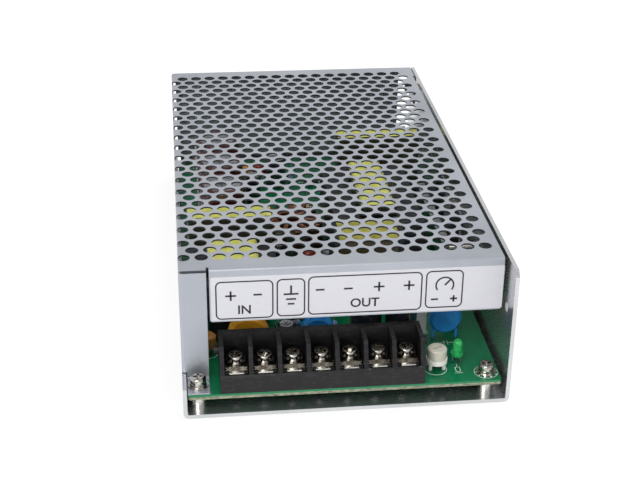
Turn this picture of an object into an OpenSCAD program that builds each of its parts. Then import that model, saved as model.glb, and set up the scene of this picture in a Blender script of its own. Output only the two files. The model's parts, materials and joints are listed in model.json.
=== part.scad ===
// Enclosed switching power supply: folded chassis, perforated cover and one circuit board.
// X runs along the terminals, Y from the terminals to the back, Z up.
// The origin is the centre of the base, on its underside.

/* [Case] */
// Depth of the case, from the front edge to the back
case_depth = 179; // [174:1:190]
// Width of the case
case_width = 99; // [97:1:108]
// Height of the case
case_height = 45; // [43:0.5:52]
// Thickness of the chassis sheet
chassis_sheet = 1.2; // [1:0.1:1.4]
// Inner bend radius of both folded sheets
bend_inner = 0.4; // [0.3:0.1:0.8]
// Height of the chassis's low left flange
left_flange_height = 10.1; // [9.6:0.1:11]
// Height of the chassis's back flange
back_flange_height = 18.5; // [14:0.5:21]
// Width of the relief slot at each end of a folded edge
bend_relief = 0.8; // [0.5:0.1:1.2]
// Size of the corner cut off the side wall at the front
wall_chamfer = 1.8; // [1:0.1:3]
// Radius of the side wall's top corner at the back
wall_corner_radius = 2.5; // [1.5:0.5:4]

/* [Cover] */
// Thickness of the perforated sheet
cover_sheet = 0.5; // [0.4:0.1:1]
// Distance from the chassis's front edge back to the cover's lip
lip_setback = 9.3; // [8.5:0.1:10.5]
// Height of the front lip
lip_height = 17.5; // [12:0.5:19]
// Distance of the lip's left end from the case's left side
lip_inset = 8.9; // [8.5:0.1:10]
// Gap between the cover's right edge and the side wall
side_gap = 1.1; // [0.6:0.1:2]
// Diameter of a ventilation hole
vent_diameter = 4; // [2.5:0.1:4]
// Spacing of the ventilation holes
vent_pitch = 5.34; // [5.2:0.02:6.5]
// Distance of the first row of holes from the lip
vent_front_margin = 8.2; // [6:0.1:12]
// Distance of the first column of holes from the left side
vent_side_inset = 1.7; // [1.5:0.1:1.9]
// Width of the slot between the cover's back wall and the side wall
back_corner_slot = 5.1; // [3:0.1:10]
// Length of the tab that fixes the cover to the side wall
side_tab_length = 11; // [9:0.5:16]

/* [Board] */
// Thickness of the circuit board
board_thickness = 1.6; // [1.2:0.1:1.8]
// Height of the standoffs under the board
standoff_height = 5; // [4.6:0.1:5.4]
// Diameter of a standoff
standoff_diameter = 4.6; // [4.2:0.1:5.5]
// Distance from the chassis's front edge back to the board
board_setback = 0.5; // [0.2:0.1:1]
// Gap between the board and the side wall
board_right_gap = 1.4; // [1:0.1:2]

/* [Terminal block] */
// Number of terminals
terminal_count = 7; // [7:1:7]
// Spacing of the terminals
terminal_pitch = 8.6; // [8.2:0.1:8.8]
// Thickness of the walls between terminals
barrier = 1.3; // [1:0.1:1.6]
// Depth of the block from front to back
block_depth = 14.2; // [13.8:0.1:15.5]
// Height of the block
block_height = 13.7; // [12:0.1:15]
// Height of the block's front ledge
ledge_height = 6; // [5.6:0.1:6.6]
// Distance of the block's left end from the case's left side
block_inset = 11.2; // [10.8:0.1:11.6]
// Travel of a terminal screw from tight to open
clamp_travel = 2; // [1:0.1:2.4]

/* [Hidden] */
$fn = 48;

// Colours
bright_aluminium = [0.80, 0.81, 0.82];
cover_zinc = [0.69, 0.71, 0.75];
nickel = [0.78, 0.77, 0.74];
solder_grey = [0.70, 0.71, 0.72];
board_green = [0.08, 0.42, 0.28];
moulded_black = [0.13, 0.13, 0.14];
ferrite_black = [0.10, 0.10, 0.11];
tape_yellow = [0.80, 0.80, 0.43];
copper = [0.66, 0.36, 0.17];
disc_blue = [0.14, 0.41, 0.65];

// Case
front = -case_depth / 2;
back = case_depth / 2;
left = -case_width / 2;
right = case_width / 2;
top = case_height;
inner_left = left + chassis_sheet;
inner_right = right - chassis_sheet;
inner_back = back - chassis_sheet;
chassis_turn = bend_inner + chassis_sheet;
cover_turn = bend_inner + cover_sheet;

// Clearances and seats
fit_gap = 0.05;
sheet_gap = 0.3;
cut = 1;

// Case fixings: metric three flat heads, and metric four tapped holes for mounting
screw_radius = 1.5;
flat_head_radius = 2.7;
flat_head_depth = 1.2;
cover_screw_length = 4.5;
mount_hole_radius = 1.65;
side_mount_from_front = 7.2;
side_mount_spacing = 150;
side_mount_height = 29.3;
base_mount_x = 65;
base_mount_y = 130;

// Board
board_left_gap = 0.2;
board_back_gap = 3.3;
board_bottom = chassis_sheet + standoff_height;
board_top = board_bottom + board_thickness;
board_front = front + board_setback;
board_left = inner_left + board_left_gap;
board_right = inner_right - board_right_gap;
board_back = inner_back - board_back_gap;
board_hole_radius = 1.7;
board_screw_head_radius = 2.4;
board_screw_head_height = 2;
flat_washer_radius = 3;
flat_washer_height = 0.5;
spring_washer_radius = 2.6;
spring_washer_height = 0.8;
spring_washer_split = 0.6;
washer_bore_radius = 1.6;
standoff_stub_radius = 1.7;
standoff_bore_radius = screw_radius + fit_gap;
board_screw_reach = 3.6;
// Each fixing is a place in X and Y, and the thickness of what is clamped on the board there
board_fixings = [
    [board_left + 3.3, board_front + 4.6, cover_sheet],
    [board_right - 3.9, board_front + 4.7, 0],
    [board_left + 5, board_back - 5, 0],
    [board_right - 5, board_back - 5, 0]];

// Cover
cover_front = front + lip_setback;
cover_back = inner_back;
cover_right = inner_right - side_gap;
cover_wall_bottom = left_flange_height + sheet_gap;
lip_left = left + lip_inset;
strip_gap = 0.8;
strip_right = lip_left - strip_gap;
strip_top = top - cover_turn;
back_wall_right = inner_right - back_corner_slot;
back_wall_bottom = board_top + 1.4;
side_tab_drop = 12;
hook_length = 9;
hook_joggle = 1.6;
hook_from_end = 38;
vent_row_pitch = vent_pitch * sqrt(3) / 2;
vent_back_margin = 7.3;
vent_right_margin = 4;
vent_bottom_margin = 4;
vent_rows = floor((cover_back - vent_back_margin - vent_first_row()) / vent_row_pitch) + 1;
function vent_first_row() = cover_front + vent_front_margin;
function vent_y(row) = vent_first_row() + row * vent_row_pitch;
function vent_first_x(row) = left + vent_side_inset + (row % 2) * vent_pitch / 2;
function vent_columns(row) = floor((cover_right - vent_right_margin - vent_first_x(row)) / vent_pitch) + 1;
function vent_wall_first_z(row) = top - cover_turn - vent_diameter / 2 - 0.1 - ((row + 1) % 2) * vent_pitch / 2;
function vent_wall_columns(row) =
    floor((vent_wall_first_z(row) - cover_wall_bottom - vent_bottom_margin) / vent_pitch) + 1;

// Terminal block, in heights over the board and depths behind its front
block_left = left + block_inset;
block_width = terminal_count * terminal_pitch + barrier;
block_front = board_front;
seat_height = 5.2;
trough_height = 4;
trough_front = 1.2;
trough_back = 2.8;
back_wall_front = 12;
barrier_top_front = 3.9;
screw_depth = 7.1;
pin_depth = 9.9;
plate_thickness = 0.8;
plate_tongue_width = 4.3;
plate_tongue_front = 1.35;
plate_pin_width = 1.2;
clamp_width = terminal_pitch - barrier - 0.5;
clamp_length = 6.2;
clamp_thickness = 0.8;
clamp_wing = 0.6;
clamp_flat = 2.5;
terminal_head_radius = 2.5;
terminal_head_height = 2.5;
terminal_head_edge = 0.5;
terminal_recess = [3.6, 1.7];
terminal_screw_length = 5.4;
cover_boss_radius = 1.4;
cover_boss_length = 1.5;
function terminal_x(i) = block_left + barrier / 2 + (i - 0.5) * terminal_pitch;

// Component places: those on the left follow the left side, those on the right the right side
lead_tail = 1;
lead_radius = 0.3;
lead_gap = 0.15;
trimmer_x = right - 21.2;
trimmer_y = front + 9.2;
trimmer_radius = 3;
trimmer_foot = 2.2;
trimmer_plate = 1.4;
trimmer_knob_height = 3.4;
trimmer_pin_radius = 1;
trimmer_slot = [3.2, 0.5, 0.4];
led_x = right - 14.4;
led_y = front + 11.6;
led_lift = 2.9;
led_radius = 1.5;
led_flange = [0.4, 0.9];
led_straight = 4.2;
led_lean = 8;
disc_coat_radius = 0.55;
disc_coat_foot = 0.6;
disc_edge = 0.9;
disc_thickness = 3.4;
right_disc_radius = 5.2;
left_disc_radius = 5.5;
disc_lift = 2.2;
right_disc_x = right - 15.4;
left_disc_x = left + 42.2;
disc_y = front + 26.4;
left_disc_y = front + 21.5;
varistor_x = left + 20.8;
varistor_y = front + 20.5;
varistor_radius = 6.4;
grey_film_size = [6.4, 8, 13.5];
grey_film_x = right - 23.7;
grey_film_y = front + 33.5;
bulk_radius = 8;
bulk_height = 29.4;
bulk_x = left + 16;
bulk_y = [for (i = [0:2]) front + 86 + 20 * i];
sleeve_thickness = 0.25;
output_can_radius = 5;
output_can_height = 17;
output_can_x = [right - 41.7, right - 30.6];
output_can_y = front + 21.5;
input_film_size = [28, 8, 26];
input_film_x = left + 17.6;
input_film_y = front + 70.6;
output_film_size = [31, 8, 28];
output_film_x = right - 22;
output_film_y = front + 130.7;

// Wound parts: centre, core outline, thickness of its legs and yokes, and heights over the board
choke_centre = [left + 17.5, front + 43.5];
choke_core = [28, 27, 12];
choke_leg = 5.5;
choke_yoke = 5;
choke_hub = 3.4;
choke_pin_count = 3;
choke_axis = 14.5;
choke_winding_height = 23;
transformer_centre = [right - 30.5, front + 88.2];
transformer_core_size = [30.2, 51.4, 15];
transformer_leg = 8.8;
transformer_yoke = 6;
transformer_hub = 5.5;
transformer_pin_count = 4;
transformer_axis = 14.8;
transformer_winding_height = 24.5;
winding_gap = 0.2;
former_wall = 0.9;
former_gap = 0.1;
former_flange_rise = 1.2;
rail_pitch = 5;
rail_inset = 0.5;
tape_corner = 2.2;
spool_length = 22.5;
spool_flange = [1.4, 15.5, 27.5];
spool_winding = [14, 26];
spool_hub = [6, 16];
spool_lift = 0.4;
spool_gap = 0.75;
spool_centre = [right - 37.2,
    transformer_centre[1] - transformer_core_size[1] / 2 - spool_gap - spool_flange[1] / 2];
toroid_x = left + 39.5;
toroid_y = front + 93;
toroid_outer = 11;
toroid_inner = 5.5;
toroid_height = 9;
toroid_wire = 1.5;
toroid_turns = 16;

// Power devices on the side wall
pad_thickness = 0.3;
device_width = 10;
device_height = 15;
device_thickness = 4.5;
device_body_height = 9;
device_tab_thickness = 1.3;
device_lead_pitch = 2.54;
device_lead_inset = 2.3;
device_base = 5;
device_y = [front + 78, front + 104];
clamp_bar_thickness = 3;
clamp_bar_height = 8;
clamp_bar_overhang = 6;
device_front = inner_right - pad_thickness - device_thickness;
clamp_screw_length = right - device_front + clamp_bar_thickness - 0.5;
clamp_bar_z = board_top + device_base + device_body_height / 2;

fuse_x = left + 8.4;
fuse_y = front + 23.5;
fuse_radius = 2.5;
fuse_height = 4.5;
fuse_lift = 2.7;

control_ic_size = [6.4, 19.3, 3.4];
control_ic_x = left + 38;
control_ic_y = front + 60;

// Two places either side of a centre, along X
function pair_x(x, y, spread) = [[x - spread, y], [x + spread, y]];
// Two places either side of a centre, along Y
function pair_y(x, y, spread) = [[x, y - spread], [x, y + spread]];
device_lead_x = device_front + device_thickness - device_lead_inset;
trimmer_pins = [for (a = [90, 210, 330]) [trimmer_x + 2.4 * cos(a), trimmer_y + 2.4 * sin(a)]];
led_pins = pair_x(led_x, led_y, 1.27);
right_disc_pins = pair_x(right_disc_x, disc_y, 3.75);
left_disc_pins = pair_x(left_disc_x, left_disc_y, 3.75);
varistor_pins = pair_x(varistor_x, varistor_y, 3.75);
grey_film_pins = pair_y(grey_film_x, grey_film_y, 2.5);
bulk_pins = [for (y = bulk_y) each pair_x(bulk_x, y, 3.75)];
output_can_pins = [for (x = output_can_x) each pair_x(x, output_can_y, 2.5)];
input_film_pins = pair_x(input_film_x, input_film_y, 11.25);
output_film_pins = pair_x(output_film_x, output_film_y, 11.25);
choke_pins = rail_pins(choke_centre, choke_core, choke_yoke, choke_pin_count);
transformer_pins = rail_pins(transformer_centre, transformer_core_size, transformer_yoke,
    transformer_pin_count);
spool_pins = pair_x(spool_centre[0], spool_centre[1], spool_length / 2 - spool_flange[0] / 2);
toroid_pins = pair_y(toroid_x, toroid_y, toroid_outer - 1);
device_pins = [for (y = device_y, i = [-1:1]) [device_lead_x, y + i * device_lead_pitch]];
ic_row = 7.62;
ic_pins = [for (s = [-1, 1], i = [0:7]) [control_ic_x + s * ic_row / 2, control_ic_y + (i - 3.5) * 2.54]];
fuse_pins = pair_y(fuse_x, fuse_y, 1.27);
lead_places = concat(trimmer_pins, led_pins, right_disc_pins, left_disc_pins, varistor_pins,
    grey_film_pins, bulk_pins, output_can_pins, input_film_pins, output_film_pins, choke_pins,
    transformer_pins, spool_pins, toroid_pins, device_pins, ic_pins, fuse_pins);
terminal_places = [for (i = [1:terminal_count]) [terminal_x(i), block_front + pin_depth]];
terminal_lead_radius = 0.8;

// Pins under the front and the back rail of a coil former, count pins on each
function rail_pins(centre, core, yoke, count) = [
    for (s = [-1, 1], i = [0:count - 1])
        [centre[0] + (i - (count - 1) / 2) * rail_pitch, centre[1] + s * (core[1] - yoke) / 2]];

// ---- Shared forms ----

// A quarter of a bend's ring, turned to its corner
module quarter_ring(inner, sheet, turn) {
    rotate(turn) intersection() {
        difference() {
            circle(inner + sheet);
            circle(inner);
        }
        square(inner + sheet);
    }
}

// Extrudes an X and Z outline from y towards the back
module along_y(y, length) {
    translate([0, y + length, 0]) rotate([90, 0, 0]) linear_extrude(length) children();
}

// Extrudes a Y and Z outline from x to the right
module along_x(x, length) {
    translate([x, 0, 0]) rotate([90, 0, 90]) linear_extrude(length) children();
}

module ring(outer, inner, height) {
    linear_extrude(height) difference() {
        circle(outer);
        circle(inner);
    }
}

module rounded_box(size, corner) {
    linear_extrude(size[2]) rounded_square([size[0], size[1]], corner);
}

// A centred rectangle with round corners
module rounded_square(size, corner) {
    square([size[0] - 2 * corner, size[1]], center = true);
    square([size[0], size[1] - 2 * corner], center = true);
    for (sx = [-1, 1], sy = [-1, 1])
        translate([sx * (size[0] / 2 - corner), sy * (size[1] / 2 - corner)]) circle(corner);
}

// Phillips recess, sunk from z = 0
module cross_recess(span, depth) {
    for (turn = [0, 90])
        rotate(turn) translate([-span / 2, -span / 7, -depth]) cube([span, span / 3.5, depth + cut]);
}

// Flat head screw, its head's face at z = 0 and its shank downwards
module flat_screw(length) {
    difference() {
        rotate_extrude() polygon([
            [0, 0], [flat_head_radius, 0], [screw_radius, -flat_head_depth],
            [screw_radius, -length + 0.3], [screw_radius - 0.3, -length], [0, -length]]);
        cross_recess(3, 0.9);
    }
}

// The hole that a flat head screw sits in, opened a little past both faces
module flat_screw_hole(depth) {
    translate([0, 0, -depth - cut]) cylinder(r = screw_radius + fit_gap, h = depth + 2 * cut);
    translate([0, 0, -flat_head_depth])
        cylinder(r1 = screw_radius + fit_gap, r2 = flat_head_radius + fit_gap, h = flat_head_depth);
    translate([0, 0, 0]) cylinder(r = flat_head_radius + fit_gap, h = cut);
}

// Puts its children at each flat head screw of the cover, head outwards along +Z
module at_cover_screws() {
    for (x = [left + 24, right - 24])
        translate([x, back, back_flange_height - 6]) rotate([-90, 0, 0]) children();
    translate([right, cover_back - side_tab_length / 2, top - side_tab_drop / 2 - 1])
        rotate([0, 90, 0]) children();
}

// Puts its children at each screw of the clamp bar, head outwards along +Z
module at_clamp_screws() {
    for (y = [device_y[0] - device_width / 2 - clamp_bar_overhang / 2,
              device_y[1] + device_width / 2 + clamp_bar_overhang / 2])
        translate([right, y, clamp_bar_z]) rotate([0, 90, 0]) children();
}

// Leads from a height down through the board
module leads(places, from, radius = lead_radius) {
    for (p = places)
        translate([p[0], p[1], board_bottom - lead_tail])
            cylinder(r = radius, h = from - board_bottom + lead_tail);
}

// ---- Case ----

module chassis_section() {
    translate([left + chassis_turn, 0]) square([case_width - 2 * chassis_turn, chassis_sheet]);
    translate([left, chassis_turn]) square([chassis_sheet, left_flange_height - chassis_turn]);
    translate([inner_right, chassis_turn]) square([chassis_sheet, top - chassis_turn]);
    translate([left + chassis_turn, chassis_turn]) quarter_ring(bend_inner, chassis_sheet, 180);
    translate([right - chassis_turn, chassis_turn]) quarter_ring(bend_inner, chassis_sheet, 270);
}

module back_flange_section() {
    translate([back - chassis_turn, chassis_turn]) quarter_ring(bend_inner, chassis_sheet, 270);
    translate([inner_back, chassis_turn]) square([chassis_sheet, back_flange_height - chassis_turn]);
}

// Cuts the side wall's chamfer at the front and rounds its corner at the back
module wall_corners() {
    along_x(inner_right - cut, chassis_sheet + 2 * cut) {
        polygon([[front - cut, top - wall_chamfer - cut], [front + wall_chamfer + cut, top + cut],
                 [front - cut, top + cut]]);
        difference() {
            translate([back - wall_corner_radius, top - wall_corner_radius])
                square(wall_corner_radius + cut);
            translate([back - wall_corner_radius, top - wall_corner_radius]) circle(wall_corner_radius);
        }
    }
}

module chassis() {
    flange_left = left + chassis_turn + bend_relief;
    flange_width = case_width - 2 * (chassis_turn + bend_relief);
    color(bright_aluminium) difference() {
        union() {
            difference() {
                along_y(front, case_depth) chassis_section();
                translate([flange_left - bend_relief, back - chassis_turn, -cut])
                    cube([flange_width + 2 * bend_relief, chassis_turn + cut, chassis_turn + cut]);
                for (x = [flange_left - bend_relief, flange_left + flange_width])
                    translate([x, back - chassis_turn - bend_relief, -cut])
                        cube([bend_relief, chassis_turn + bend_relief + cut, chassis_turn + cut]);
            }
            along_x(flange_left, flange_width) back_flange_section();
        }
        wall_corners();
        for (f = board_fixings)
            translate([f[0], f[1], -cut])
                cylinder(r = standoff_stub_radius + fit_gap, h = chassis_sheet + 2 * cut);
        for (sx = [-1, 1], sy = [-1, 1])
            translate([sx * base_mount_x / 2, sy * base_mount_y / 2, -cut])
                cylinder(r = mount_hole_radius, h = chassis_sheet + 2 * cut);
        for (step = [0, side_mount_spacing])
            translate([inner_right - cut, front + side_mount_from_front + step, side_mount_height])
                rotate([0, 90, 0]) cylinder(r = mount_hole_radius, h = chassis_sheet + 2 * cut);
        at_cover_screws() flat_screw_hole(chassis_sheet);
        at_clamp_screws() flat_screw_hole(chassis_sheet);
    }
}

// The flat top with its rows of holes
module cover_top() {
    translate([0, 0, top - cover_sheet]) linear_extrude(cover_sheet) difference() {
        union() {
            translate([left + cover_turn, cover_front + cover_turn])
                square([cover_right - left - cover_turn,
                        cover_back - side_tab_length - cover_front - cover_turn]);
            translate([left + cover_turn, cover_back - side_tab_length])
                square([inner_right - left - 2 * cover_turn, side_tab_length - cover_turn]);
            translate([left + cover_turn, cover_front])
                square([strip_right - left - cover_turn, cover_turn]);
        }
        translate([strip_right, cover_front - cut])
            square([strip_gap, cover_turn + bend_relief + cut]);
        for (row = [0:vent_rows - 1], column = [0:vent_columns(row) - 1])
            translate([vent_first_x(row) + column * vent_pitch, vent_y(row)])
                circle(vent_diameter / 2);
    }
}

// The left wall's flat part with its rows of holes
module cover_wall() {
    along_x(left, cover_sheet) difference() {
        translate([cover_front + cover_turn, cover_wall_bottom])
            square([cover_back - cover_front - cover_turn, top - cover_turn - cover_wall_bottom]);
        for (row = [0:vent_rows - 1], column = [0:vent_wall_columns(row) - 1])
            translate([vent_y(row), vent_wall_first_z(row) - column * vent_pitch])
                circle(vent_diameter / 2);
        for (y = hook_places())
            translate([y - hook_length / 2, cover_wall_bottom - cut])
                square([hook_length, hook_joggle + cut]);
    }
}

function hook_places() = [front + hook_from_end, back - hook_from_end];

// The bend between the top and the left wall, notched where the first holes cross it
module cover_left_bend() {
    difference() {
        along_y(cover_front, cover_back - cover_turn - cover_front)
            translate([left + cover_turn, top - cover_turn]) quarter_ring(bend_inner, cover_sheet, 90);
        for (row = [0:2:vent_rows - 1])
            translate([vent_first_x(row), vent_y(row), top - cover_turn - cut])
                cylinder(r = vent_diameter / 2, h = cover_turn + 2 * cut);
    }
}

// The lip that hangs down at the front
module cover_lip() {
    lip_width = cover_right - lip_left;
    corner = 0.8;
    along_y(cover_front, cover_sheet) {
        translate([lip_left, top - lip_height + corner])
            square([lip_width, lip_height - corner - cover_turn]);
        translate([lip_left + lip_width / 2, top - lip_height + 2 * corner])
            rounded_square([lip_width, 4 * corner], corner);
    }
    along_x(lip_left, lip_width)
        translate([cover_front + cover_turn, top - cover_turn]) quarter_ring(bend_inner, cover_sheet, 90);
}

// The strip folded in from the left wall, and the foot that its screw holds down on the board
module cover_strip() {
    foot_left = inner_left + sheet_gap;
    foot_front = board_front + 0.2;
    translate([left + cover_turn, cover_front + cover_turn, cover_wall_bottom])
        linear_extrude(strip_top - cover_wall_bottom) quarter_ring(bend_inner, cover_sheet, 180);
    translate([left + cover_turn, cover_front, cover_wall_bottom])
        cube([strip_right - left - cover_turn, cover_sheet, strip_top - cover_wall_bottom]);
    translate([foot_left, cover_front, board_top + cover_turn])
        cube([strip_right - foot_left, cover_sheet, cover_wall_bottom - board_top - cover_turn]);
    along_x(foot_left, strip_right - foot_left)
        translate([cover_front - bend_inner, board_top + cover_turn])
            quarter_ring(bend_inner, cover_sheet, 270);
    difference() {
        translate([foot_left, foot_front, board_top])
            cube([strip_right - foot_left, cover_front - bend_inner - foot_front, cover_sheet]);
        translate([board_fixings[0][0], board_fixings[0][1], board_top - cut])
            cylinder(r = board_hole_radius, h = cover_sheet + 2 * cut);
    }
}

module cover_back_wall() {
    wall_left = inner_left + sheet_gap;
    wall_width = back_wall_right - wall_left;
    translate([wall_left, cover_back - cover_sheet, back_wall_bottom])
        cube([wall_width, cover_sheet, top - cover_turn - back_wall_bottom]);
    along_x(wall_left, wall_width)
        translate([cover_back - cover_turn, top - cover_turn]) quarter_ring(bend_inner, cover_sheet, 0);
}

// The tab folded down inside the side wall
module cover_side_tab() {
    tab_front = cover_back - side_tab_length;
    tab_length = side_tab_length - cover_turn;
    along_y(tab_front, tab_length)
        translate([inner_right - cover_turn, top - cover_turn]) quarter_ring(bend_inner, cover_sheet, 0);
    translate([inner_right - cover_sheet, tab_front, top - side_tab_drop])
        cube([cover_sheet, tab_length, side_tab_drop - cover_turn]);
}

// A joggled hook that drops inside the chassis's low flange
module cover_hook() {
    low = board_top + 0.4;
    step = left_flange_height + sheet_gap;
    polygon([
        [left, step + hook_joggle], [left, step + hook_joggle - 0.2], [inner_left, step - 0.1],
        [inner_left, low], [inner_left + cover_sheet, low], [inner_left + cover_sheet, step + 0.2],
        [left + cover_sheet, step + hook_joggle]]);
}

module cover() {
    color(cover_zinc) difference() {
        union() {
            cover_top();
            cover_left_bend();
            cover_wall();
            cover_lip();
            cover_strip();
            cover_back_wall();
            cover_side_tab();
            for (y = hook_places()) along_y(y - hook_length / 2 + 0.4, hook_length - 0.8) cover_hook();
        }
        at_cover_screws()
            translate([0, 0, -chassis_sheet - cover_sheet - cut])
                cylinder(r = screw_radius + fit_gap, h = cover_sheet + 2 * cut);
    }
}

module cover_screws() {
    color(nickel) at_cover_screws() flat_screw(cover_screw_length);
}

// ---- Board and its fixings ----

module main_board() {
    corner = 1;
    width = board_right - board_left;
    length = board_back - board_front;
    color(board_green) translate([0, 0, board_bottom]) linear_extrude(board_thickness) difference() {
        translate([board_left + width / 2, board_front + length / 2]) rounded_square([width, length], corner);
        for (f = board_fixings) translate([f[0], f[1]]) circle(board_hole_radius);
        for (p = lead_places) translate(p) circle(lead_radius + lead_gap);
        for (p = terminal_places) translate(p) circle(terminal_lead_radius + lead_gap);
    }
}

module board_standoffs() {
    color(nickel) for (f = board_fixings) translate([f[0], f[1], 0]) rotate_extrude() polygon([
        [standoff_bore_radius, 0.2], [standoff_stub_radius, 0.2], [standoff_stub_radius, chassis_sheet],
        [standoff_diameter / 2, chassis_sheet], [standoff_diameter / 2, board_bottom - 0.3],
        [standoff_diameter / 2 - 0.3, board_bottom], [standoff_bore_radius, board_bottom]]);
}

module board_flat_washers() {
    color(nickel) for (f = board_fixings)
        translate([f[0], f[1], board_top + f[2]]) ring(flat_washer_radius, washer_bore_radius, flat_washer_height);
}

// Split spring washers, each with its gap turned a different way
module board_spring_washers() {
    color(nickel) for (i = [0:len(board_fixings) - 1]) {
        f = board_fixings[i];
        translate([f[0], f[1], board_top + f[2] + flat_washer_height]) rotate(40 + 80 * i) difference() {
            ring(spring_washer_radius, washer_bore_radius, spring_washer_height);
            translate([0, -spring_washer_split / 2, -cut])
                cube([spring_washer_radius + cut, spring_washer_split, spring_washer_height + 2 * cut]);
        }
    }
}

module board_screws() {
    seat = flat_washer_height + spring_washer_height;
    r = board_screw_head_radius;
    h = board_screw_head_height;
    color(nickel) for (f = board_fixings) translate([f[0], f[1], board_top + f[2] + seat]) difference() {
        rotate_extrude() polygon(concat(
            [[0, f[2] * -1 - seat - board_thickness - board_screw_reach],
             [screw_radius, f[2] * -1 - seat - board_thickness - board_screw_reach],
             [screw_radius, 0], [r, 0]],
            [for (a = [0:15:90]) [r - 0.9 + 0.9 * cos(a), h - 0.9 + 0.9 * sin(a)]],
            [[0, h]]));
        translate([0, 0, h]) cross_recess(2.8, 1.2);
    }
}

// Solder fillets round every lead under the board
module solder_joints() {
    color(solder_grey) {
        for (p = lead_places) translate([p[0], p[1], board_bottom]) solder_joint(lead_radius);
        for (p = terminal_places) translate([p[0], p[1], board_bottom]) solder_joint(terminal_lead_radius);
    }
}

module solder_joint(lead) {
    inner = lead + fit_gap;
    rotate_extrude() polygon([
        [inner, 0], [lead + 0.85, 0], [lead + 0.5, -0.35], [lead + 0.25, -0.85], [inner, -0.95]]);
}

// ---- Terminals ----

// The block's section behind its front: ledge, trough, seat and back wall
module block_section() {
    polygon([
        [0, 0], [0, ledge_height - 0.4], [0.4, ledge_height], [trough_front, ledge_height],
        [trough_front, trough_height], [trough_back, trough_height], [trough_back, seat_height],
        [back_wall_front, seat_height], [back_wall_front, block_height], [block_depth, block_height],
        [block_depth, 0]]);
}

module barrier_section() {
    polygon([
        [0, 0], [0, ledge_height - 0.4], [0.4, ledge_height], [barrier_top_front, block_height],
        [block_depth, block_height], [block_depth, 0]]);
}

module terminal_block() {
    color(moulded_black) translate([0, block_front, board_top]) difference() {
        union() {
            along_x(block_left, block_width) block_section();
            for (i = [0:terminal_count])
                along_x(block_left + i * terminal_pitch, barrier) barrier_section();
            for (x = [block_left - cover_boss_length, block_left + block_width])
                translate([x, screw_depth + 1.5, block_height - 3.5])
                    rotate([0, 90, 0]) cylinder(r = cover_boss_radius, h = cover_boss_length);
        }
        for (i = [1:terminal_count]) translate([terminal_x(i), 0, 0]) {
            translate([0, screw_depth, 0.8]) cylinder(r = screw_radius + 0.3, h = block_height);
            translate([-plate_pin_width / 2 - 0.1, pin_depth - plate_thickness / 2 - 0.1, -cut])
                cube([plate_pin_width + 0.2, plate_thickness + 0.2, block_height]);
        }
    }
}

// One terminal: its seat, the tongue that turns down at the front and the pin to the board
module terminal_plate() {
    low = seat_height;
    seat_front = trough_back + 0.3;
    seat_width = clamp_width;
    difference() {
        union() {
            translate([-seat_width / 2, seat_front, low])
                cube([seat_width, pin_depth + plate_thickness / 2 - seat_front, plate_thickness]);
            translate([-plate_tongue_width / 2, plate_tongue_front + 0.4, low])
                cube([plate_tongue_width, seat_front - plate_tongue_front - 0.4, plate_thickness]);
            along_x(-plate_tongue_width / 2, plate_tongue_width) polygon([
                [plate_tongue_front, low - 0.6], [plate_tongue_front, low + 0.45],
                [plate_tongue_front + 0.4, low + plate_thickness], [plate_tongue_front + 0.8, low],
                [plate_tongue_front + 0.7, low - 0.6]]);
            translate([-plate_pin_width / 2, pin_depth - plate_thickness / 2, -board_thickness - lead_tail])
                cube([plate_pin_width, plate_thickness, low + board_thickness + lead_tail + cut / 2]);
        }
        translate([0, screw_depth, low - cut])
            cylinder(r = screw_radius + fit_gap, h = plate_thickness + 2 * cut);
    }
}

module terminal_plates() {
    color(nickel) for (i = [1:terminal_count])
        translate([terminal_x(i), block_front, board_top]) terminal_plate();
}

// A square clamp washer whose sides rise into wings
module clamp_plate(i) {
    rise_from = clamp_flat;
    steps = 4;
    reach = clamp_width / 2 - rise_from;
    wing = [for (k = [0:steps]) [rise_from + reach * k / steps, clamp_wing * pow(k / steps, 2)]];
    under = concat([for (k = [steps:-1:0]) [-wing[k][0], wing[k][1]]], wing);
    over = [for (k = [len(under) - 1:-1:0]) [under[k][0], under[k][1] + clamp_thickness]];
    color(nickel) translate([terminal_x(i), block_front + screw_depth, board_top + seat_height + plate_thickness])
        difference() {
            along_y(-clamp_length / 2, clamp_length) polygon(concat(under, over));
            translate([0, 0, -cut])
                cylinder(r = screw_radius + 2 * fit_gap, h = clamp_thickness + 2 * cut);
        }
}

module terminal_screw(i) {
    r = terminal_head_radius;
    h = terminal_head_height;
    edge = terminal_head_edge;
    color(nickel)
        translate([terminal_x(i), block_front + screw_depth,
                   board_top + seat_height + plate_thickness + clamp_thickness])
            rotate(15 + 31 * i) difference() {
                rotate_extrude() polygon(concat(
                    [[0, -terminal_screw_length], [screw_radius - 0.3, -terminal_screw_length],
                     [screw_radius, -terminal_screw_length + 0.3], [screw_radius, 0], [r, 0]],
                    [for (a = [0:15:90]) [r - edge + edge * cos(a), h - edge + edge * sin(a)]],
                    [[0, h]]));
                translate([0, 0, h]) cross_recess(terminal_recess[0], terminal_recess[1]);
            }
}

// ---- Small parts along the front ----

module trimmer_base() {
    low = board_top + trimmer_foot;
    color([0.88, 0.88, 0.85]) {
        translate([trimmer_x, trimmer_y, low]) {
            cylinder(r = trimmer_radius + 0.3, h = trimmer_plate);
            cylinder(r = trimmer_pin_radius, h = trimmer_plate + 2.4);
        }
        leads(trimmer_pins, low + cut / 2);
        for (p = trimmer_pins) translate([p[0], p[1], board_top]) cylinder(r = 0.6, h = trimmer_foot + 0.5);
    }
}

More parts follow.
